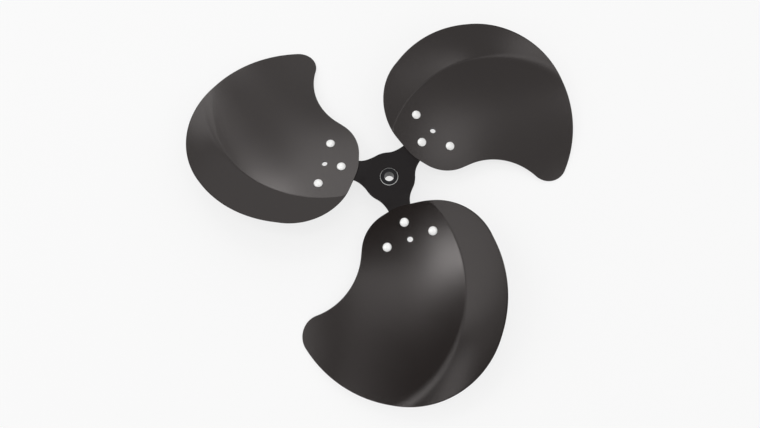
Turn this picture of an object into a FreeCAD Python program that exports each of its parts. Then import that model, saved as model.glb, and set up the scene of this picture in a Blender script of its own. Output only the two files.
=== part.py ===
import FreeCAD, Part
import math
import os

# Three-bladed fan wheel: pressed sheet blades riveted to a spider with a bored hub. Millimetres.
# The shaft runs along Z, air leaves towards +Z, and Z = 0 is the front face of the spider.
# Places on a blade are given for the arm along +X as (along the arm, across it), with across
# positive towards the trailing edge. The other blades follow by turning about Z.

Vector = FreeCAD.Vector
axis_x = Vector(1, 0, 0)
axis_y = Vector(0, 1, 0)
axis_z = Vector(0, 0, 1)
centre = Vector(0, 0, 0)

blade_count = 3

# Blade outline: corners as (along, across, corner radius), from the notch round by the hook.
# The reach is the tip corner's, before rounding, and the other outer corners are set back from it
blade_reach = 247.6
hook_setback = 135.7
lead_setback = 58.2
trail_setback = 100.8
notch_corner = (108.6, -68.7, 65.7)
hook_corner = (blade_reach - hook_setback, -140.0, 20.7)
lead_corner = (blade_reach - lead_setback, -113.7, 124.9)
tip_corner = (blade_reach, 4.7, 91.7)
trail_corner = (blade_reach - trail_setback, 79.9, 121.2)
shoulder_corner = (43.6, 71.2, 62.5)
root_corner = (33.0, -2.3, 45.4)
heel_corner = (41.6, -40.7, 42.6)

# Blade sheet: flat and pitched at the root, untwisting from there to the tip, with a trailing
# strip bent forward along a crease that is a circle in plan. Round that circle, from one bearing
# to the next, the bend eases off towards the tip
sheet = 1.0
root_pitch = 10.5
tip_pitch = 6.6
flat_reach = 91.4
crease_setback = 156.2
crease_along = blade_reach - crease_setback
crease_across = -87.2
crease_radius = 129.6
strip_bend = 12.0
tip_bend = 6.0
ease_from = 75.0
ease_to = 10.0

# Spider: round centre, arms that twist to the blade's pitch, pads flared out behind the blades
plate = 3.0
centre_radius = 27.2
arm_width = 22.4
neck_radius = 30.0
twist_length = 12.0
root_margin = 0.5
flare_along = 45.0
flare_radius = 8.0
pad_margin = 8.5

# Rivets: one inboard, two outboard, and a locating hole midway between the outer two
rivet_near = 51.3
rivet_far = 69.4
rivet_spread = 49.0
shank_diameter = 5.0
head_diameter = 9.4
head_height = 2.4
tail_diameter = 8.6
tail_height = 1.8
rivet_sides = 12
shoulder_share = 0.75
crown_share = 0.4
locating_diameter = 6.0
rivet_clearance = 0.05

# Hub boss: turned, its spigot passed through the spider and spread over the front as a collar
bore_diameter = 10.0
boss_diameter = 26.0
boss_length = 10.0
spigot_diameter = 16.0
collar_diameter = 19.0
collar_height = 1.2
boss_chamfer = 1.0
collar_chamfer = 0.5
spigot_clearance = 0.05

# Set screw: in the side of the boss, midway between two blades, backed off clear of the bore
screw_diameter = 5.0
screw_length = 6.0
screw_point = 0.8
screw_bore_gap = 0.3
screw_clearance = 0.05
socket_sides = 6
socket_flats = 2.5
socket_depth = 2.6

# Resolution of the curved surfaces, where the strip's cone starts as a share of the crease radius,
# how far cutters run past what they cut, and the gap at which two ends count as joined
twist_spans = 3
surface_spans = 10
cone_start = 0.25
cut_margin = 2.0
shut_gap = 0.0001

blade_pitch_angle = 360.0 / blade_count
root_slope = math.tan(math.radians(root_pitch))
tip_slope = math.tan(math.radians(tip_pitch))
strip_slope = math.tan(math.radians(strip_bend))
end_slope = math.tan(math.radians(tip_bend))
sheet_lift = sheet / math.cos(math.radians(root_pitch))


def rounded_wire(corners):
    """Closed wire of straight sides, each corner rounded to its radius or to what its sides allow."""
    count = len(corners)
    places = [Vector(along, across, 0) for along, across, _ in corners]
    sides = [places[(i + 1) % count] - places[i] for i in range(count)]
    turns = [sides[i - 1].getAngle(sides[i]) for i in range(count)]
    tangents = [corners[i][2] * math.tan(turns[i] / 2) for i in range(count)]
    shares = [(tangents[i] + tangents[(i + 1) % count]) / sides[i].Length for i in range(count)]
    edges = []
    for i in range(count):
        back = (-sides[i - 1]).normalize()
        ahead = Vector(sides[i]).normalize()
        tangent = tangents[i] / max(1.0, shares[i - 1], shares[i])
        radius = tangent / math.tan(turns[i] / 2)
        inward = (back + ahead).normalize()
        middle = places[i] + inward * (radius / math.cos(turns[i] / 2) - radius)
        edges.append(Part.Arc(places[i] + back * tangent, middle, places[i] + ahead * tangent).toShape())
    joined = []
    for i, edge in enumerate(edges):
        joined.append(edge)
        leave = edge.lastVertex().Point
        arrive = edges[(i + 1) % count].firstVertex().Point
        if leave.distanceToPoint(arrive) > shut_gap:
            joined.append(Part.makeLine(leave, arrive))
    return Part.Wire(Part.__sortEdges__(joined))


def prism(wire, bottom, top):
    """Upright prism of a flat wire between two heights."""
    face = Part.Face(wire)
    face.translate(axis_z * bottom)
    return face.extrude(axis_z * (top - bottom))


def turned(profile):
    """Solid of revolution about Z of a closed (radius, height) profile."""
    points = [Vector(radius, 0, height) for radius, height in profile]
    face = Part.Face(Part.makePolygon(points + points[:1]))
    return face.revolve(centre, axis_z, 360)


def regular_polygon(radius, up, sides=rivet_sides):
    """Level regular polygon about Z, its corners on a circle."""
    turns = [2 * math.pi * k / sides for k in range(sides + 1)]
    points = [Vector(radius * math.cos(turn), radius * math.sin(turn), up) for turn in turns]
    return Part.makePolygon(points)


def eased(part):
    """Share of a change that starts and ends gently, 0 before it and 1 after it."""
    inside = min(1.0, max(0.0, part))
    return inside * inside * (3 - 2 * inside)


def on_arm(shape, index):
    """Copy of a shape made for the arm along +X, turned to another arm."""
    return shape.rotated(centre, axis_z, index * blade_pitch_angle)


def on_pad(shape):
    """Copy of a shape made on a level pad, tilted about the arm to the root pitch."""
    return shape.rotated(centre, axis_x, root_pitch)


# Cutters square to the pad, through pad and blade: rivet holes with the flats of their shanks,
# and the round locating hole
rivet_places = [(rivet_near, 0.0), (rivet_far, rivet_spread / 2), (rivet_far, -rivet_spread / 2)]
hole_bottom = -plate - cut_margin
hole_top = sheet + cut_margin
rivet_hole = prism(regular_polygon(shank_diameter / 2 + rivet_clearance, 0), hole_bottom, hole_top)
cutters = [rivet_hole.translated(Vector(along, across, 0)) for along, across in rivet_places]
hole_start = Vector(rivet_far, 0, hole_bottom)
cutters.append(Part.makeCylinder(locating_diameter / 2, hole_top - hole_bottom, hole_start))
pad_holes = on_pad(Part.makeCompound(cutters))

blade_corners = [notch_corner, hook_corner, lead_corner, tip_corner]
blade_corners += [trail_corner, shoulder_corner, root_corner, heel_corner]
blade_outline = rounded_wire(blade_corners)
root_edge = blade_outline.BoundBox.XMin
tip_edge = blade_outline.BoundBox.XMax


def sheet_height(along, across):
    """Height of the pitched sheet. Its slope across the arm is steady over the flat root, then
    falls with the square of the distance towards the tip."""
    outboard = max(0.0, along - flat_reach) / (tip_edge - flat_reach)
    return across * (root_slope - (root_slope - tip_slope) * outboard ** 2)


def strip_height(along, across):
    """Height of the trailing strip: the sheet's own, plus a cone about the crease's centre that
    meets the sheet along the crease and rises past it by the bend at that bearing."""
    spoke = Vector(along - crease_along, across - crease_across, 0)
    bearing = math.degrees(math.atan2(spoke.y, spoke.x))
    slope = end_slope + (strip_slope - end_slope) * eased((bearing - ease_to) / (ease_from - ease_to))
    return sheet_height(along, across) + slope * (spoke.Length - crease_radius)


def curved_slab(height, first, lowest, bottom, top):
    """Slab between two lifts of a curved surface, from a first station and across to the far edges."""
    step_along = (tip_edge + cut_margin - first) / surface_spans
    step_across = (blade_outline.BoundBox.YMax + cut_margin - lowest) / surface_spans
    rows = []
    for i in range(surface_spans + 1):
        along = first + step_along * i
        places = [lowest + step_across * k for k in range(surface_spans + 1)]
        rows.append([Vector(along, across, height(along, across) + bottom) for across in places])
    surface = Part.BSplineSurface()
    surface.interpolate(rows)
    return surface.toShape().extrude(axis_z * (top - bottom))


def sheet_slab(bottom, top):
    """The pitched sheet over the whole outline, between two lifts: a flat root and a twisted rest."""
    lowest = blade_outline.BoundBox.YMin - cut_margin
    highest = blade_outline.BoundBox.YMax + cut_margin
    corners = [(lowest, bottom), (highest, bottom), (highest, top), (lowest, top)]
    points = [Vector(flat_reach, across, root_slope * across + lift) for across, lift in corners]
    end = Part.Face(Part.makePolygon(points + points[:1]))
    flat = end.extrude(axis_x * (root_edge - cut_margin - flat_reach))
    return flat.fuse(curved_slab(sheet_height, flat_reach, lowest, bottom, top))


def strip_slab(bottom, top):
    """The trailing strip between two lifts, wide enough to pass under the sheet at the crease."""
    lowest = crease_across + crease_radius * cone_start
    return curved_slab(strip_height, root_edge - cut_margin, lowest, bottom, top)


def make_blade():
    """One blade: sheet and strip, each trimmed where the other lies in front, cut to the outline."""
    depth = strip_slope * tip_edge
    sheet_part = sheet_slab(0.0, sheet_lift).cut(strip_slab(-depth, 0.0))
    strip_part = strip_slab(0.0, sheet_lift).cut(sheet_slab(-depth, 0.0))
    trim = prism(blade_outline, -tip_edge, tip_edge)
    return sheet_part.fuse(strip_part).common(trim).removeSplitter().cut(pad_holes)


def spider_outline():
    """Plan of the spider: centre disc, necks, arms and flared pads, all corners rounded."""
    arm_half = arm_width / 2
    pad_half = rivet_spread / 2 + pad_margin
    neck_along = math.sqrt((centre_radius + neck_radius) ** 2 - (arm_half + neck_radius) ** 2)
    neck_angle = math.atan2(arm_half + neck_radius, neck_along)
    half_gap = math.radians(blade_pitch_angle / 2)
    web_reach = centre_radius / math.cos(half_gap - neck_angle)
    neck_corner = centre_radius / math.cos(neck_angle) - arm_half * math.tan(neck_angle)
    one_side = [
        (neck_corner, arm_half, neck_radius),
        (flare_along, arm_half, flare_radius),
        (rivet_far - pad_margin, pad_half, pad_margin),
        (rivet_far + pad_margin, pad_half, pad_margin),
    ]
    arm = [(along, -across, radius) for along, across, radius in one_side] + one_side[::-1]
    arm.append((web_reach * math.cos(half_gap), web_reach * math.sin(half_gap), centre_radius))
    corners = []
    for index in range(blade_count):
        turn = FreeCAD.Rotation(axis_z, index * blade_pitch_angle)
        for along, across, radius in arm:
            place = turn.multVec(Vector(along, across, 0))
            corners.append((place.x, place.y, radius))
    return rounded_wire(corners)


def arm_section(along, half_width, pitch):
    """Rectangle of plate across the arm, turned about the middle of its front face."""
    corners = [(-half_width, 0), (half_width, 0), (half_width, -plate), (-half_width, -plate)]
    points = [Vector(along, across, up) for across, up in corners]
    wire = Part.makePolygon(points + points[:1])
    wire.rotate(centre, axis_x, pitch)
    return wire


def make_spider():
    """The spider: level centre, and for each arm a smooth twist and a flat pad at the root pitch."""
    twist_end = root_edge - root_margin
    twist_start = twist_end - twist_length
    pad_half = rivet_spread / 2 + pad_margin + cut_margin
    sections = []
    for i in range(twist_spans + 1):
        part = i / twist_spans
        sections.append(arm_section(twist_start + twist_length * part, pad_half, root_pitch * eased(part)))
    pad_length = rivet_far + pad_margin + cut_margin - twist_end
    arm = Part.makeLoft(sections, True).fuse(Part.Face(sections[-1]).extrude(axis_x * pad_length))
    outline = spider_outline()
    level_reach = twist_start / math.cos(math.radians(blade_pitch_angle / 2))
    level_points = []
    for index in range(blade_count + 1):
        turn = FreeCAD.Rotation(axis_z, (index + 0.5) * blade_pitch_angle)
        level_points.append(turn.multVec(Vector(level_reach, 0, 0)))
    level = prism(Part.makePolygon(level_points), -plate, 0)
    depth = pad_half + plate
    trim = prism(outline, -depth, depth)
    arms = [on_arm(arm.cut(pad_holes), index).common(trim) for index in range(blade_count)]
    hub_radius = spigot_diameter / 2 + spigot_clearance
    hub_hole = Part.makeCylinder(hub_radius, plate + 2 * cut_margin, Vector(0, 0, -plate - cut_margin))
    return level.common(trim).multiFuse(arms).cut(hub_hole).removeSplitter()


def make_rivet():
    """Rivet on a level pad: domed head on the blade, shank through both, formed tail on the pad.

    It is turned with flats, so its faces are the flat bands between level polygons.
    """
    shank = shank_diameter / 2
    head = head_diameter / 2
    tail = tail_diameter / 2
    stations = [
        (tail * crown_share, -plate - tail_height),
        (tail, -plate),
        (shank, -plate),
        (shank, sheet),
        (head, sheet),
        (head * shoulder_share, sheet + head_height * shoulder_share),
        (head * crown_share, sheet + head_height),
    ]
    rings = [regular_polygon(radius, up) for radius, up in stations]
    faces = [Part.Face(rings[0]), Part.Face(rings[-1])]
    for lower, upper in zip(rings, rings[1:]):
        for below, above in zip(lower.Edges, upper.Edges):
            near, far = [vertex.Point for vertex in below.Vertexes]
            back, ahead = [vertex.Point for vertex in above.Vertexes]
            faces.append(Part.Face(Part.makePolygon([near, far, ahead, back, near])))
    return Part.Solid(Part.Shell(faces))


def make_rivets():
    """All the rivets, three to a blade."""
    rivet = make_rivet()
    solids = []
    for index in range(blade_count):
        for along, across in rivet_places:
            solids.append(on_arm(on_pad(rivet.translated(Vector(along, across, 0))), index))
    return Part.makeCompound(solids)


def beside_boss(shape):
    """Copy of a shape made along +Z from the axis, laid along the set screw's line."""
    laid = shape.rotated(centre, axis_y, 90)
    laid.translate(Vector(0, 0, -plate - boss_length / 2))
    return laid.rotated(centre, axis_z, blade_pitch_angle / 2)


def make_boss():
    """Hub boss: rear body, spigot through the spider and collar over its front, bored through."""
    bore = bore_diameter / 2
    body = boss_diameter / 2
    spigot = spigot_diameter / 2
    collar = collar_diameter / 2
    rear = -plate - boss_length
    profile = [
        (bore, rear),
        (body - boss_chamfer, rear),
        (body, rear + boss_chamfer),
        (body, -plate),
        (spigot, -plate),
        (spigot, 0.0),
        (collar, 0.0),
        (collar, collar_height - collar_chamfer),
        (collar - collar_chamfer, collar_height),
        (bore, collar_height),
    ]
    screw_hole = Part.makeCylinder(screw_diameter / 2 + screw_clearance, body + cut_margin)
    return turned(profile).cut(beside_boss(screw_hole))


def make_set_screw():
    """Set screw: coned point towards the bore, hexagon socket in its outer end."""
    radius = screw_diameter / 2
    point = bore_diameter / 2 + screw_bore_gap
    outer = point + screw_length
    profile = [
        (0.0, point),
        (radius - screw_point, point),
        (radius, point + screw_point),
        (radius, outer),
        (0.0, outer),
    ]
    hexagon = regular_polygon(socket_flats / 2 / math.cos(math.pi / socket_sides), 0, socket_sides)
    socket = prism(hexagon, outer - socket_depth, outer + cut_margin)
    return beside_boss(turned(profile).cut(socket))


os.makedirs("parts", exist_ok=True)
blade = make_blade()
for index in range(blade_count):
    on_arm(blade, index).exportStep(f"parts/blade_{index + 1}.step")
make_spider().exportStep("parts/spider.step")
make_rivets().exportStep("parts/blade_rivets.step")
make_boss().exportStep("parts/hub_boss.step")
make_set_screw().exportStep("parts/set_screw.step")
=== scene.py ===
import bmesh
import bpy
import numpy as np
from mathutils import Matrix, Vector


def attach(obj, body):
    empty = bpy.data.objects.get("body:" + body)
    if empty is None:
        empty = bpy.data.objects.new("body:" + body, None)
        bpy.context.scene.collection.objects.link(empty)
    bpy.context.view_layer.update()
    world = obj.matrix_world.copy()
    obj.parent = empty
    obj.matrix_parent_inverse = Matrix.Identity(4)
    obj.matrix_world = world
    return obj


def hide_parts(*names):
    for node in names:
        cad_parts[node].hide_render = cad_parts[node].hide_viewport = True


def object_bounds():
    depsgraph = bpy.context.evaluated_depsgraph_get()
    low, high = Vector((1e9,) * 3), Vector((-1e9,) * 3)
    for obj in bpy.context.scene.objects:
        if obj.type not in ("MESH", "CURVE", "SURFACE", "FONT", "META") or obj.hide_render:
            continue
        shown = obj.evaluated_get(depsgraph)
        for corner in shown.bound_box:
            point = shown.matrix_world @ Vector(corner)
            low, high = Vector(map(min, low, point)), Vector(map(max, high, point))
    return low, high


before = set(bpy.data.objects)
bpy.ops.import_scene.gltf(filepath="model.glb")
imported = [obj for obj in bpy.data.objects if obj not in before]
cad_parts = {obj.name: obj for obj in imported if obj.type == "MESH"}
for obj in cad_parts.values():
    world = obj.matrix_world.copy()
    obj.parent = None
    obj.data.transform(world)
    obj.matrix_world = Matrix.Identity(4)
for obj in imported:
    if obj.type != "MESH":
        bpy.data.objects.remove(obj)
cadLow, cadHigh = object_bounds()
mm = 0.001
bladeCount = 3
print("frame loaded:", len(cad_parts), "nodes")


# shader maths: a Wire is one socket of a node tree, and sums on wires add Math nodes
class Wire:
    def __init__(self, tree, socket=None):
        self.tree = tree
        self.socket = socket

    # any node: its settings first, then values or wires into its sockets
    def node(self, kind, settings, sockets, out=0):
        made = self.tree.nodes.new(kind)
        for name, value in settings.items():
            setattr(made, name, value)
        for name, value in sockets.items():
            if isinstance(value, Wire):
                self.tree.links.new(value.socket, made.inputs[name])
            else:
                made.inputs[name].default_value = value
        return Wire(self.tree, made.outputs[out]) if len(made.outputs) else None

    def maths(self, operation, first, second):
        return self.node("ShaderNodeMath", {"operation": operation}, {0: first, 1: second})

    def __add__(self, other):
        return self.maths("ADD", self, other)

    def __radd__(self, other):
        return self.maths("ADD", other, self)

    def __sub__(self, other):
        return self.maths("SUBTRACT", self, other)

    def __rsub__(self, other):
        return self.maths("SUBTRACT", other, self)

    def __mul__(self, other):
        return self.maths("MULTIPLY", self, other)

    def __rmul__(self, other):
        return self.maths("MULTIPLY", other, self)


def newFinish(name):
    finish = bpy.data.materials.new(name)
    finish.use_nodes = True
    finish.node_tree.nodes.clear()
    return finish, Wire(finish.node_tree)


# noise on object coordinates, with a grain size in metres
def grain(start, size, detail):
    place = start.node("ShaderNodeTexCoord", {}, {}, out=3)
    return start.node("ShaderNodeTexNoise", {}, {"Vector": place, "Scale": 1 / size, "Detail": detail})


def blendColour(start, share, low, high):
    sockets = {0: share, 6: (*low, 1.0), 7: (*high, 1.0)}
    return start.node("ShaderNodeMix", {"data_type": "RGBA"}, sockets, out=2)


def roughen(start, height, strength, depth):
    return start.node("ShaderNodeBump", {}, {"Height": height, "Strength": strength, "Distance": depth})


def closeFinish(start, sockets):
    surface = start.node("ShaderNodeBsdfPrincipled", {}, sockets)
    start.node("ShaderNodeOutputMaterial", {}, {"Surface": surface})


# charcoal enamel: near black, semi-gloss, with a faint orange peel and slow drifts of tone and gloss
bladeEnamel = dict(low=(0.0088, 0.0060, 0.0052), high=(0.0122, 0.0088, 0.0078), drift=0.09, driftDetail=2.0,
                   peel=0.0016, peelDetail=1.0, peelBump=0.35, peelDepth=0.00003,
                   gloss=0.13, glossDrift=0.05, cast=(1.0, 0.95, 0.94))


def makeBladeEnamel():
    finish, start = newFinish("charcoalEnamel")
    drift = grain(start, bladeEnamel["drift"], bladeEnamel["driftDetail"])
    peel = grain(start, bladeEnamel["peel"], bladeEnamel["peelDetail"])
    closeFinish(start, {
        "Base Color": blendColour(start, drift, bladeEnamel["low"], bladeEnamel["high"]),
        "Roughness": bladeEnamel["gloss"] + drift * bladeEnamel["glossDrift"],
        "Normal": roughen(start, peel, bladeEnamel["peelBump"], bladeEnamel["peelDepth"]),
        "Specular Tint": (*bladeEnamel["cast"], 1.0),
    })
    return finish


# satin black enamel: flatter and blacker, with a coarser spray texture
spiderEnamel = dict(low=(0.0051, 0.0029, 0.0032), high=(0.0091, 0.0069, 0.0072), drift=0.012, driftDetail=2.0,
                    spray=0.0009, sprayDetail=1.0, sprayBump=0.5, sprayDepth=0.00008,
                    gloss=0.46, glossDrift=0.14, sheen=0.22)


def makeSpiderEnamel():
    finish, start = newFinish("satinBlack")
    drift = grain(start, spiderEnamel["drift"], spiderEnamel["driftDetail"])
    spray = grain(start, spiderEnamel["spray"], spiderEnamel["sprayDetail"])
    closeFinish(start, {
        "Base Color": blendColour(start, drift, spiderEnamel["low"], spiderEnamel["high"]),
        "Roughness": spiderEnamel["gloss"] + drift * spiderEnamel["glossDrift"],
        "Normal": roughen(start, spray, spiderEnamel["sprayBump"], spiderEnamel["sprayDepth"]),
        "Specular IOR Level": spiderEnamel["sheen"],
    })
    return finish


# bare rivet metal: bright satin, with the fine marks of the rivet set
rivetMetal = dict(low=(0.9, 0.9, 0.89), high=(0.97, 0.97, 0.96), marks=0.0007, markDetail=3.0,
                  markBump=0.25, markDepth=0.00004, gloss=0.42, glossDrift=0.16)


def makeRivetMetal():
    finish, start = newFinish("brightRivet")
    marks = grain(start, rivetMetal["marks"], rivetMetal["markDetail"])
    closeFinish(start, {
        "Base Color": blendColour(start, marks, rivetMetal["low"], rivetMetal["high"]),
        "Metallic": 1.0,
        "Roughness": rivetMetal["gloss"] + marks * rivetMetal["glossDrift"],
        "Normal": roughen(start, marks, rivetMetal["markBump"], rivetMetal["markDepth"]),
    })
    return finish


# turned steel, blackened, with fine rings round the shaft axis; a thin ring at the collar's front edge is a
# painted highlight, pale colour where the edge would catch the light
hubSteel = dict(low=(0.012, 0.012, 0.013), high=(0.035, 0.035, 0.037), bright=(0.62, 0.62, 0.61),
                edge=(0.0088, 0.0092), front=(0.0001, 0.0004), ring=0.00035, ringDetail=2.0,
                ringBump=0.3, ringDepth=0.00002, gloss=0.3, glossDrift=0.16)
screwSteel = dict(hubSteel, low=(0.03, 0.03, 0.032), high=(0.06, 0.06, 0.062), ring=0.0005,
                  ringDepth=0.00003, gloss=0.32, glossDrift=0.2)


def makeTurnedSteel(name, tones):
    finish, start = newFinish(name)
    place = start.node("ShaderNodeTexCoord", {}, {}, out=3)
    flat = start.node("ShaderNodeVectorMath", {"operation": "MULTIPLY"}, {0: place, 1: (1, 1, 0)})
    radius = start.node("ShaderNodeVectorMath", {"operation": "LENGTH"}, {0: flat}, out=1)
    height = start.node("ShaderNodeSeparateXYZ", {}, {0: place}, out=2)
    band = start.node("ShaderNodeCombineXYZ", {}, {0: radius, 2: height})
    noise = {"Vector": band, "Scale": 1 / tones["ring"], "Detail": tones["ringDetail"]}
    rings = start.node("ShaderNodeTexNoise", {}, noise)
    edge = start.node("ShaderNodeMapRange", {}, {0: radius, 1: tones["edge"][0], 2: tones["edge"][1]})
    front = start.node("ShaderNodeMapRange", {}, {0: height, 1: tones["front"][0], 2: tones["front"][1]})
    dark = blendColour(start, rings, tones["low"], tones["high"])
    # painted highlight: a pale ring mixed in where the collar's front edge would catch the light
    paintedHighlight = {0: edge * front, 6: dark, 7: (*tones["bright"], 1.0)}
    closeFinish(start, {
        "Base Color": start.node("ShaderNodeMix", {"data_type": "RGBA"}, paintedHighlight, out=2),
        "Metallic": 1.0,
        "Roughness": tones["gloss"] + rings * tones["glossDrift"],
        "Normal": roughen(start, rings, tones["ringBump"], tones["ringDepth"]),
    })
    return finish


bladePaint = makeBladeEnamel()
spiderPaint = makeSpiderEnamel()
rivetBright = makeRivetMetal()
hubTurned = makeTurnedSteel("turnedSteel", hubSteel)
screwBlack = makeTurnedSteel("blackSteel", screwSteel)
print("finishes made")


# quads over a rows x columns array of points, joined round in either direction where asked
def gridQuads(rows, columns, joinRows=False, joinColumns=False):
    index = np.arange(rows * columns).reshape(rows, columns)
    if joinRows:
        index = np.concatenate([index, index[:1]])
    if joinColumns:
        index = np.concatenate([index, index[:, :1]], axis=1)
    return np.stack([index[:-1, :-1], index[1:, :-1], index[1:, 1:], index[:-1, 1:]], axis=-1)


# points turned about Z by each of a list of angles: (angles, points, 3)
def turned(points, angles):
    c, s = np.cos(angles)[:, None], np.sin(angles)[:, None]
    x, y, z = points[..., 0], points[..., 1], points[..., 2]
    return np.stack([x * c - y * s, x * s + y * c, np.broadcast_to(z, (len(angles), *z.shape))], axis=-1)


armAngles = np.radians(360 / bladeCount * np.arange(bladeCount))


# points closer than weld, in metres, become one; edges sharper than sharpEdge, in degrees, stay crisp
weld = 2e-6
sharpEdge = 40.0


# a mesh in millimetres becomes a piece in metres that rides on the part and stands for a CAD node
def addPiece(name, points, quads, finish, stoodFor):
    mesh = bpy.data.meshes.new(name)
    mesh.from_pydata((points.reshape(-1, 3) * mm).tolist(), [], quads.reshape(-1, 4).tolist())
    build = bmesh.new()
    build.from_mesh(mesh)
    loose = [vertex for vertex in build.verts if not vertex.link_faces]
    bmesh.ops.delete(build, geom=loose, context="VERTS")
    bmesh.ops.remove_doubles(build, verts=build.verts, dist=weld)
    bmesh.ops.recalc_face_normals(build, faces=build.faces)
    build.to_mesh(mesh)
    build.free()
    mesh.shade_smooth()
    mesh.set_sharp_from_angle(angle=np.radians(sharpEdge))
    piece = bpy.data.objects.new(name, mesh)
    bpy.context.scene.collection.objects.link(piece)
    piece.data.materials.append(finish)
    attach(piece, "root")
    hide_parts(stoodFor)
    print("piece", name, len(mesh.polygons), "faces")


# blade, on the arm along +X, in mm and degrees: corners of the plan as (along, across, corner radius)
bladeForm = dict(
    corners=((108.6, -68.7, 65.7), (111.9, -140.0, 20.7), (189.4, -113.7, 124.9), (247.6, 4.7, 91.7),
             (146.8, 79.9, 121.2), (43.6, 71.2, 62.5), (33.0, -2.3, 45.4), (41.6, -40.7, 42.6)),
    sheet=1.0, rootPitch=10.5, tipPitch=6.6, creaseCentre=(91.4, -87.2), creaseRadius=129.6,
    stripBend=12.0, tipBend=6.0, easeFrom=75.0, easeTo=10.0, softRoot=0.7, softTip=7.0,
    hole=(69.4, 0.0), holeRadius=3.0,
    bearings=220, spans=90, rimSteps=7, holeLines=23, holeWindow=5.4, edgeRound=0.5,
    creaseLine=0.7, creaseLines=13, creaseWindow=0.025, creaseLow=0.25, creaseHigh=0.96,
)


# outline of straight sides with each corner replaced by a tangent arc, as points along it
def roundedOutline(corners, arcSteps=160, sideSteps=60):
    corners = np.array(corners)
    places, radii = corners[:, :2], corners[:, 2]
    sides = np.roll(places, -1, axis=0) - places
    lengths = np.hypot(*sides.T)
    ahead = sides / lengths[:, None]
    back = -np.roll(ahead, 1, axis=0)
    turns = np.arccos(np.clip(-(ahead * back).sum(1), -1, 1))
    tangents = radii * np.tan(turns / 2)
    shares = (tangents + np.roll(tangents, -1)) / lengths
    tangents = tangents / np.maximum(1, np.maximum(shares, np.roll(shares, 1)))
    radii = tangents / np.tan(turns / 2)
    inward = (ahead + back) / np.linalg.norm(ahead + back, axis=1, keepdims=True)
    centres = places + inward * (radii / np.cos(turns / 2))[:, None]
    hand = np.sign(ahead[:, 0] * back[:, 1] - ahead[:, 1] * back[:, 0])
    swing = (hand * turns)[:, None] * np.linspace(-0.5, 0.5, arcSteps)
    spoke = -inward * radii[:, None]
    arcX = centres[:, :1] + spoke[:, :1] * np.cos(swing) - spoke[:, 1:] * np.sin(swing)
    arcY = centres[:, 1:] + spoke[:, :1] * np.sin(swing) + spoke[:, 1:] * np.cos(swing)
    share = np.linspace(0, 1, sideSteps + 2)[1:-1]
    lineX = arcX[:, -1:] * (1 - share) + np.roll(arcX[:, :1], -1, axis=0) * share
    lineY = arcY[:, -1:] * (1 - share) + np.roll(arcY[:, :1], -1, axis=0) * share
    return np.stack([np.hstack([arcX, lineX]).ravel(), np.hstack([arcY, lineY]).ravel()], axis=1)


# height of the blade's rear face: across the arm it rises by the pitch, which falls off with the square
# of the way to the tip, and past the crease circle by the strip's bend. Round the circle towards the tip
# that bend eases off and its soft start widens
def bladeHeight(along, across, tipEdge):
    form = bladeForm
    bends = (form["rootPitch"], form["tipPitch"], form["stripBend"], form["tipBend"])
    rootSlope, tipSlope, stripSlope, endSlope = np.tan(np.radians(bends))
    spokeX, spokeY = along - form["creaseCentre"][0], across - form["creaseCentre"][1]
    outboard = np.clip(spokeX / (tipEdge - form["creaseCentre"][0]), 0, None)
    bearing = np.degrees(np.arctan2(spokeY, spokeX))
    part = np.clip((bearing - form["easeTo"]) / (form["easeFrom"] - form["easeTo"]), 0, 1)
    eased = part ** 2 * (3 - 2 * part)
    bend = endSlope + (stripSlope - endSlope) * eased
    soft = form["softTip"] + (form["softRoot"] - form["softTip"]) * eased
    past = np.hypot(spokeX, spokeY) - form["creaseRadius"]
    ramp = np.where(past > soft, past, np.clip(past + soft, 0, None) ** 2 / (4 * soft))
    return across * (rootSlope - (rootSlope - tipSlope) * outboard ** 2) + bend * ramp


# lines of a grid, with closer ones in a window round one place
def closerLines(lines, place, window, extra):
    close = place + window * np.linspace(-1, 1, extra)
    return np.concatenate([lines[lines < close[0]], close, lines[lines > close[-1]]])


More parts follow.
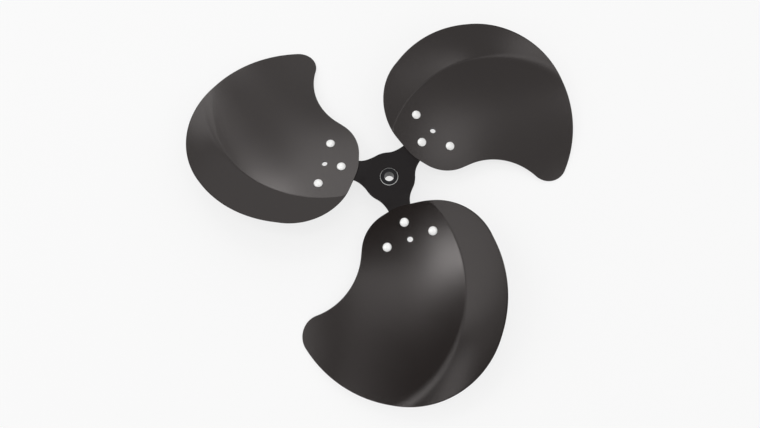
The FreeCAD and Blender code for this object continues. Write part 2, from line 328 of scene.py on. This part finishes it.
# blade: polar grid about the crease centre. Each bearing has one section: the front from the inner to the
# outer edge, a half-round rim, the rear back again and the inner rim. Sections crowd towards the two end
# bearings, which follow a cosine
def makeBlades():
    form = bladeForm
    centre = np.array(form["creaseCentre"])
    outline = roundedOutline(form["corners"])
    tipEdge = outline[:, 0].max()
    spoke = outline - centre
    bearing, reach = np.arctan2(spoke[:, 1], spoke[:, 0]), np.hypot(*spoke.T)
    start = bearing.argmin()
    bearing, reach = np.roll(bearing, -start), np.roll(reach, -start)
    turn = bearing.argmax()
    one = (bearing[:turn + 1], reach[:turn + 1])
    two = (np.append(bearing[turn:], bearing[0])[::-1], np.append(reach[turn:], reach[0])[::-1])
    inner, outer = sorted((one, two), key=lambda branch: branch[1].mean())
    middle, half = (bearing[turn] + bearing[0]) / 2, (bearing[turn] - bearing[0]) / 2

    holeSpoke = np.array(form["hole"]) - centre
    holeBearing, holeReach = np.arctan2(holeSpoke[1], holeSpoke[0]), np.hypot(*holeSpoke)
    holeStep = np.arccos((middle - holeBearing) / half) / np.pi
    holeLow = np.interp(holeBearing, *inner)
    stepWidth = half * np.pi * np.sin(np.pi * holeStep) * holeReach
    steps = np.linspace(0, 1, form["bearings"])
    steps = closerLines(steps, holeStep, form["holeWindow"] / stepWidth, form["holeLines"])
    toCrease = form["creaseLine"] / (form["creaseRadius"] - holeLow)
    lines = np.linspace(0, 1, form["spans"])
    lines = closerLines(lines, form["creaseLine"], form["creaseWindow"], form["creaseLines"])
    holeLine = (holeReach - holeLow) * toCrease
    lines = closerLines(lines, holeLine, form["holeWindow"] * toCrease, form["holeLines"])

    # lines run from the inner edge to the crease and on to the outer edge, so one of them follows the crease
    bearings = middle - half * np.cos(np.pi * steps)
    low, high = np.interp(bearings, *inner)[:, None], np.interp(bearings, *outer)[:, None]
    crease = np.clip((form["creaseRadius"] - low) / (high - low), form["creaseLow"], form["creaseHigh"])
    inside = lines / form["creaseLine"] * crease
    outside = crease + (lines - form["creaseLine"]) / (1 - form["creaseLine"]) * (1 - crease)
    shares = np.where(lines < form["creaseLine"], inside, outside)
    edge = np.minimum(form["edgeRound"], (high - low) / 2)
    rim = np.linspace(0, np.pi, form["rimSteps"] + 2)[1:-1]
    flat = np.zeros(len(lines))
    ends = np.ones((len(bearings), len(rim)))
    along = np.concatenate([shares, ends, shares[:, ::-1], 0 * ends], axis=1)
    bulge = np.concatenate([flat, np.sin(rim), flat, -np.sin(rim)])
    side = np.concatenate([flat + 1, np.cos(rim), flat - 1, -np.cos(rim)])
    radius = low + edge + (high - low - 2 * edge) * along + edge * bulge
    x = centre[0] + radius * np.cos(bearings)[:, None]
    y = centre[1] + radius * np.sin(bearings)[:, None]

    # locating hole: cells inside it go, the corners left round it move onto its circle, and a wall joins
    # the front to the rear
    count, rimCount = len(lines), len(rim)
    front = np.arange(count)
    rear = 2 * count + rimCount - 1 - front
    quads = gridQuads(*along.shape, joinColumns=True)
    offX, offY = x[:, front] - form["hole"][0], y[:, front] - form["hole"][1]
    cellX = (offX[:-1, :-1] + offX[1:, :-1] + offX[1:, 1:] + offX[:-1, 1:]) / 4
    cellY = (offY[:-1, :-1] + offY[1:, :-1] + offY[1:, 1:] + offY[:-1, 1:]) / 4
    gone = np.hypot(cellX, cellY) < form["holeRadius"]
    touched = np.zeros((4, *offX.shape), bool)
    touched[0, :-1, :-1] = touched[1, 1:, :-1] = touched[2, 1:, 1:] = touched[3, :-1, 1:] = gone
    border = touched.any(0) & ~touched.all(0)
    fromHole = np.where(border, np.hypot(offX, offY), form["holeRadius"])
    pull = form["holeRadius"] / fromHole
    for columns in (front, rear):
        x[:, columns] = form["hole"][0] + offX * pull
        y[:, columns] = form["hole"][1] + offY * pull
    thickness = form["sheet"] / np.cos(np.radians(form["rootPitch"]))
    z = bladeHeight(x, y, tipEdge) + thickness * (1 + side) / 2
    kept = np.ones(quads.shape[:2], bool)
    kept[:, front[:-1]] = ~gone
    kept[:, rear[1:]] = ~gone
    index = np.arange(x.size).reshape(x.shape)
    ahead, behind = index[:, front], index[:, rear]
    i, k = np.nonzero(gone[:-1] != gone[1:])
    i += 1
    wallOne = np.stack([ahead[i, k], ahead[i, k + 1], behind[i, k + 1], behind[i, k]], axis=1)
    i, k = np.nonzero(gone[:, :-1] != gone[:, 1:])
    k += 1
    wallTwo = np.stack([ahead[i, k], ahead[i + 1, k], behind[i + 1, k], behind[i, k]], axis=1)
    faces = np.concatenate([quads[kept], wallOne, wallTwo])
    points = np.stack([x, y, z], axis=-1).reshape(-1, 3)
    for number, turnedPoints in enumerate(turned(points, armAngles), 1):
        addPiece(f"pressedBlade{number}", turnedPoints, faces, bladePaint, f"blade_{number}")


makeBlades()


# rivets, three to a blade, in mm and degrees, with heights from the pad's front face
rivetForm = dict(places=((51.3, 0.0), (69.4, 24.5), (69.4, -24.5)), pitch=10.5, plate=3.0, sheet=1.0,
                 shank=2.5, head=4.7, headHeight=2.2, lip=0.35, lipTuck=0.1,
                 tail=4.3, tailHeight=1.8, tailFullness=0.7, turns=48, domeSteps=14)


# rivet: a profile of (radius, height) turned about its own axis. The head is a quarter ellipse over a short
# lip and the tail a fuller one; the places on a blade tilt with its pad and repeat round the shaft
def makeRivets():
    form = rivetForm
    sweep = np.linspace(0, np.pi / 2, form["domeSteps"])
    dome = form["sheet"] + form["lip"]
    headRadius = form["head"] * np.sin(sweep)
    headUp = dome + (form["headHeight"] - form["lip"]) * np.cos(sweep)
    tailRadius = form["tail"] * np.sin(sweep[::-1])
    tailUp = -form["plate"] - form["tailHeight"] * np.cos(sweep[::-1]) ** form["tailFullness"]
    neckRadius = np.array([form["head"] - form["lipTuck"], form["shank"], form["shank"]])
    neckUp = np.array([form["sheet"], form["sheet"], -form["plate"]])
    radius = np.concatenate([headRadius, neckRadius, tailRadius])
    up = np.concatenate([headUp, neckUp, tailUp])
    bearings = np.linspace(0, 2 * np.pi, form["turns"], endpoint=False)[:, None]
    one = np.stack([radius * np.cos(bearings), radius * np.sin(bearings), up + 0 * bearings], axis=-1)
    places = np.array([(*place, 0.0) for place in form["places"]])
    level = places[:, None, None] + one
    c, s = np.cos(np.radians(form["pitch"])), np.sin(np.radians(form["pitch"]))
    tilted = np.stack([level[..., 0], level[..., 1] * c - level[..., 2] * s,
                       level[..., 1] * s + level[..., 2] * c], axis=-1)
    points = turned(tilted.reshape(-1, 3), armAngles)
    quads = gridQuads(*one.shape[:2], joinRows=True).reshape(-1, 4)
    copies = np.arange(len(places) * bladeCount) * len(bearings) * len(radius)
    faces = quads + copies[:, None, None]  # the same faces on each copy of the points
    addPiece("bladeRivets", points, faces, rivetBright, "blade_rivets")


makeRivets()

# spider, in mm and degrees: its round centre, the neck, flare and pad of an arm, the twist and the holes
spiderForm = dict(plate=3.0, centre=27.2, armHalf=11.2, neck=30.0, flare=45.0, flareRadius=8.0,
                  padHalf=33.0, padAlong=69.4, padMargin=8.5, pitch=10.5, twist=12.0, rootMargin=0.5,
                  hubHole=8.05, padHole=3.0, edgeRound=0.45, edgeSteps=5, arcSteps=17, sideSteps=9,
                  spans=12, axisJoin=16.0, padCorner=3, webCorner=8)


# corners of the spider's plan: neck, flare and pad on both sides of each arm, then the web to the next arm
def spiderCorners():
    form = spiderForm
    centre, armHalf, neck = form["centre"], form["armHalf"], form["neck"]
    neckAngle = np.arccos(np.sqrt((centre + neck) ** 2 - (armHalf + neck) ** 2) / (centre + neck))
    halfGap = np.pi / bladeCount
    web = centre / np.cos(halfGap - neckAngle)
    padAlong, padHalf, margin = form["padAlong"], form["padHalf"], form["padMargin"]
    side = np.array([(centre / np.cos(neckAngle) - armHalf * np.tan(neckAngle), armHalf, neck),
                     (form["flare"], armHalf, form["flareRadius"]),
                     (padAlong - margin, padHalf, margin),
                     (padAlong + margin, padHalf, margin)])
    webPlace = (web * np.cos(halfGap), web * np.sin(halfGap), centre)
    arm = np.concatenate([side * (1, -1, 1), side[::-1], [webPlace]])
    return turned(arm, armAngles).reshape(-1, 3)


# spider: rows run along half an arm's outline, from the middle of its end to the middle of the web. Each row
# goes out from a spine, which is the locating hole, the arm's middle and the hub hole in turn. Its section is
# front, rounded rim and rear, and its height rises across the arm by a pitch that eases in along the twist
def makeSpider():
    form = spiderForm
    arcSteps, sideSteps = form["arcSteps"], form["sideSteps"]
    perCorner = arcSteps + sideSteps
    first = form["padCorner"] * perCorner + arcSteps + sideSteps // 2
    last = form["webCorner"] * perCorner + arcSteps // 2
    outline = roundedOutline(spiderCorners(), arcSteps, sideSteps)[first:last + 1]
    count = len(outline)
    padEnd = sideSteps // 2 + arcSteps
    flareStart = padEnd + perCorner
    neckEnd = count - 1 - arcSteps // 2 - sideSteps
    webStart = count - 1 - arcSteps // 4

    # stage 0 to 2 is round the locating hole, 2 to 4 along the arm's middle and 4 to 5 round the hub hole
    marks = [0, padEnd, flareStart, neckEnd, webStart, count - 1]
    stage = np.interp(np.arange(count), marks, range(len(marks)))
    padTurn = np.clip(stage, 0, 2) * np.pi / 2
    hubTurn = np.clip(stage - 4, 0, 1) * np.pi / bladeCount
    padAlong, padHole = form["padAlong"], form["padHole"]
    axis = np.interp(stage, [2, 3, 4], [padAlong - padHole, form["axisJoin"], form["hubHole"]])
    spineX = np.where(stage <= 2, padAlong + padHole * np.cos(padTurn), axis * np.cos(hubTurn))
    spineY = np.where(stage <= 2, padHole * np.sin(padTurn), axis * np.sin(hubTurn))
    spineY[(stage >= 2) & (stage <= 4)] = 0
    spineY[0] = 0
    spine = np.stack([spineX, spineY], axis=1)

    bow = np.linspace(0, np.pi / 2, form["edgeSteps"] + 1)[1:]
    share = np.linspace(0, 1, form["spans"])
    level = np.ones(form["spans"])
    bulge = np.sin(bow)
    inset = form["edgeRound"] * np.concatenate([level, 1 - bulge, 1 - bulge[::-1], level])
    curl = form["edgeRound"] * (1 - np.cos(bow))
    down = np.concatenate([0 * level, curl, form["plate"] - curl[::-1], form["plate"] * level])
    reach = np.concatenate([share, 0 * bow + 1, 0 * bow + 1, share[::-1]])
    way = outline - spine
    length = np.hypot(*way.T)[:, None]
    part = (reach * (length - inset))[..., None] / length[..., None]
    plan = spine[:, None] + way[:, None] * part
    twistEnd = roundedOutline(bladeForm["corners"])[:, 0].min() - form["rootMargin"]
    turn = np.clip((plan[..., 0] - twistEnd + form["twist"]) / form["twist"], 0, 1)
    pitch = np.radians(form["pitch"]) * turn ** 2 * (3 - 2 * turn)
    up = plan[..., 1] * np.tan(pitch) - down / np.cos(pitch)
    one = np.stack([plan[..., 0], plan[..., 1], up], axis=-1)
    otherUp = -plan[..., 1] * np.tan(pitch) - down / np.cos(pitch)
    other = np.stack([plan[..., 0], -plan[..., 1], otherUp], axis=-1)

    # walls of the holes are kept, and the join along the arm's middle has none
    quads = gridQuads(*one.shape[:2], joinColumns=True)
    wall = (stage[1:] <= 2) | (stage[:-1] >= 4)
    kept = np.ones(quads.shape[:2], bool)
    kept[:, -1] = wall
    quads = quads[kept]
    both = np.concatenate([one.reshape(-1, 3), other.reshape(-1, 3)])
    points = turned(both, armAngles)
    copies = np.arange(2 * bladeCount) * one.shape[0] * one.shape[1]
    faces = quads + copies[:, None, None]  # the same faces on each copy of the points
    addPiece("blackSpider", points, faces, spiderPaint, "spider")


makeSpider()

for name, finish in (("hub_boss", hubTurned), ("set_screw", screwBlack)):
    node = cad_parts[name]
    node.data.materials.clear()
    node.data.materials.append(finish)


# 1 for rays that show the background: straight from the camera, mirrored or through glass
def seenRays(start):
    path = start.node("ShaderNodeLightPath", {}, {})
    outputs = path.socket.node.outputs
    kinds = ("Is Camera Ray", "Is Glossy Ray", "Is Transmission Ray")
    camera, glossy, through = [Wire(start.tree, outputs[kind]) for kind in kinds]
    return start.maths("MINIMUM", camera + glossy + through, 1.0)


# floor just under the part, in metres; glow is the share of plain white where it is seen
stageForm = dict(radius=8.0, rings=40, turns=96, tone=(0.9, 0.9, 0.9), glow=0.75, drop=0.0002)


# floor: rings of points about the part, spaced with the square of their number
def makeFloor():
    rings, turns = stageForm["rings"], stageForm["turns"]
    radius = stageForm["radius"] * np.linspace(0, 1, rings)[:, None] ** 2
    bearings = np.linspace(0, 2 * np.pi, turns, endpoint=False)
    height = np.full((rings, turns), cadLow.z - stageForm["drop"])
    points = np.stack([radius * np.cos(bearings), radius * np.sin(bearings), height], axis=-1)
    middle = [list(range(turns, 2 * turns))]
    quads = gridQuads(rings, turns, joinColumns=True)[1:].reshape(-1, 4).tolist()
    mesh = bpy.data.meshes.new("floor")
    mesh.from_pydata(points.reshape(-1, 3).tolist(), [], middle + quads)
    floor = bpy.data.objects.new("floor", mesh)
    bpy.context.scene.collection.objects.link(floor)
    finish, start = newFinish("paleFloor")
    matt = start.node("ShaderNodeBsdfDiffuse", {}, {"Color": (*stageForm["tone"], 1.0)})
    white = start.node("ShaderNodeEmission", {}, {"Color": (1.0, 1.0, 1.0, 1.0)})
    share = seenRays(start) * stageForm["glow"]
    surface = start.node("ShaderNodeMixShader", {}, {0: share, 1: matt, 2: white})
    start.node("ShaderNodeOutputMaterial", {}, {"Surface": surface})
    mesh.materials.append(finish)


makeFloor()

# camera: the photograph's direction and distance, in degrees and metres, with lens and sensor in mm
photoView = dict(turn=72.0, tilt=17.77, lean=0.81, distance=0.611, lens=27.8, sensor=36.0,
                 shift=(-0.012, -0.049))
turnBack = Matrix.Rotation(np.radians(photoView["turn"]), 4, "Z")


def makeCamera():
    data = bpy.data.cameras.new("camera")
    data.lens = photoView["lens"]
    data.sensor_width = photoView["sensor"]
    data.shift_x, data.shift_y = photoView["shift"]
    camera = bpy.data.objects.new("camera", data)
    bpy.context.scene.collection.objects.link(camera)
    tilt = Matrix.Rotation(np.radians(photoView["tilt"]), 4, "X")
    lean = Matrix.Rotation(np.radians(photoView["lean"]), 4, "Y")
    camera.matrix_world = turnBack @ tilt @ lean @ Matrix.Translation((0, 0, photoView["distance"]))
    bpy.context.scene.camera = camera


makeCamera()

# lamps: way from the part as (right in the picture, up in it, along the shaft), size as (wide, high) in
# metres, and glow as strength, where 1 is plain white
lamps = dict(
    nearLeft=dict(way=(-0.109, 0.042, 0.993), size=(1.35, 0.34), glow=7.85),
    besideLeft=dict(way=(-0.340, -0.006, 0.941), size=(0.81, 0.20), glow=2.91),
    nearRight=dict(way=(0.356, 0.135, 0.925), size=(0.39, 0.48), glow=1.71),
    top=dict(way=(-0.022, 0.592, 0.805), size=(0.91, 0.95), glow=1.79),
    topLeft=dict(way=(-0.189, 0.548, 0.815), size=(0.45, 0.54), glow=5.0),
    left=dict(way=(-0.698, 0.148, 0.701), size=(2.02, 2.33), glow=1.14),
    right=dict(way=(0.519, -0.182, 0.835), size=(0.20, 1.64), glow=2.45),
    far=dict(way=(-0.122, 0.825, 0.552), size=(2.41, 1.29), glow=0.37),
)
lampDistance = 4.0


def makeLamps():
    right = turnBack.to_3x3() @ Vector((1, 0, 0))
    for name, form in lamps.items():
        data = bpy.data.lights.new(name, "AREA")
        data.shape = "RECTANGLE"
        data.size, data.size_y = form["size"]
        data.energy = form["glow"] * np.pi * data.size * data.size_y
        lamp = bpy.data.objects.new(name, data)
        bpy.context.scene.collection.objects.link(lamp)
        way = (turnBack.to_3x3() @ Vector(form["way"])).normalized()
        across = (right - way * right.dot(way)).normalized()
        aim = Matrix((across, way.cross(across), way)).transposed().to_4x4()
        lamp.matrix_world = Matrix.Translation(way * lampDistance) @ aim


makeLamps()

# air: even grey light from above, with an unlit stretch of ceiling; inner and outer are cosines of the
# angle from its way. Low down, where it shows past the floor, it is a plain white backdrop, between two
# heights of a ray, of which 1 is straight up
air = dict(glow=0.72, unlit=0.0, way=(-0.235, 0.151, 0.960), inner=0.978, outer=0.945,
           backdropFrom=0.4, backdropTo=0.25)


def makeAir():
    world = bpy.data.worlds.new("air")
    bpy.context.scene.world = world
    world.use_nodes = True
    world.node_tree.nodes.clear()
    start = Wire(world.node_tree)
    ray = start.node("ShaderNodeTexCoord", {}, {}, out=0)
    rise = start.node("ShaderNodeSeparateXYZ", {}, {0: ray}, out=2)
    backdrop = start.node("ShaderNodeMapRange", {}, {0: rise, 1: air["backdropFrom"], 2: air["backdropTo"]})
    seen = seenRays(start) * backdrop
    way = (turnBack @ Vector(air["way"])).normalized()
    near = start.node("ShaderNodeVectorMath", {"operation": "DOT_PRODUCT"}, {0: ray, 1: way}, out=1)
    spread = {0: near, 1: air["outer"], 2: air["inner"], 3: air["glow"], 4: air["unlit"]}
    strength = start.node("ShaderNodeMapRange", {"interpolation_type": "SMOOTHSTEP"}, spread)
    shown = strength * (1 - seen) + seen
    glow = start.node("ShaderNodeBackground", {}, {"Color": (1.0, 1.0, 1.0, 1.0), "Strength": shown})
    start.node("ShaderNodeOutputWorld", {}, {"Surface": glow})


makeAir()
bpy.context.scene.view_settings.view_transform = "Standard"
print("stage set")
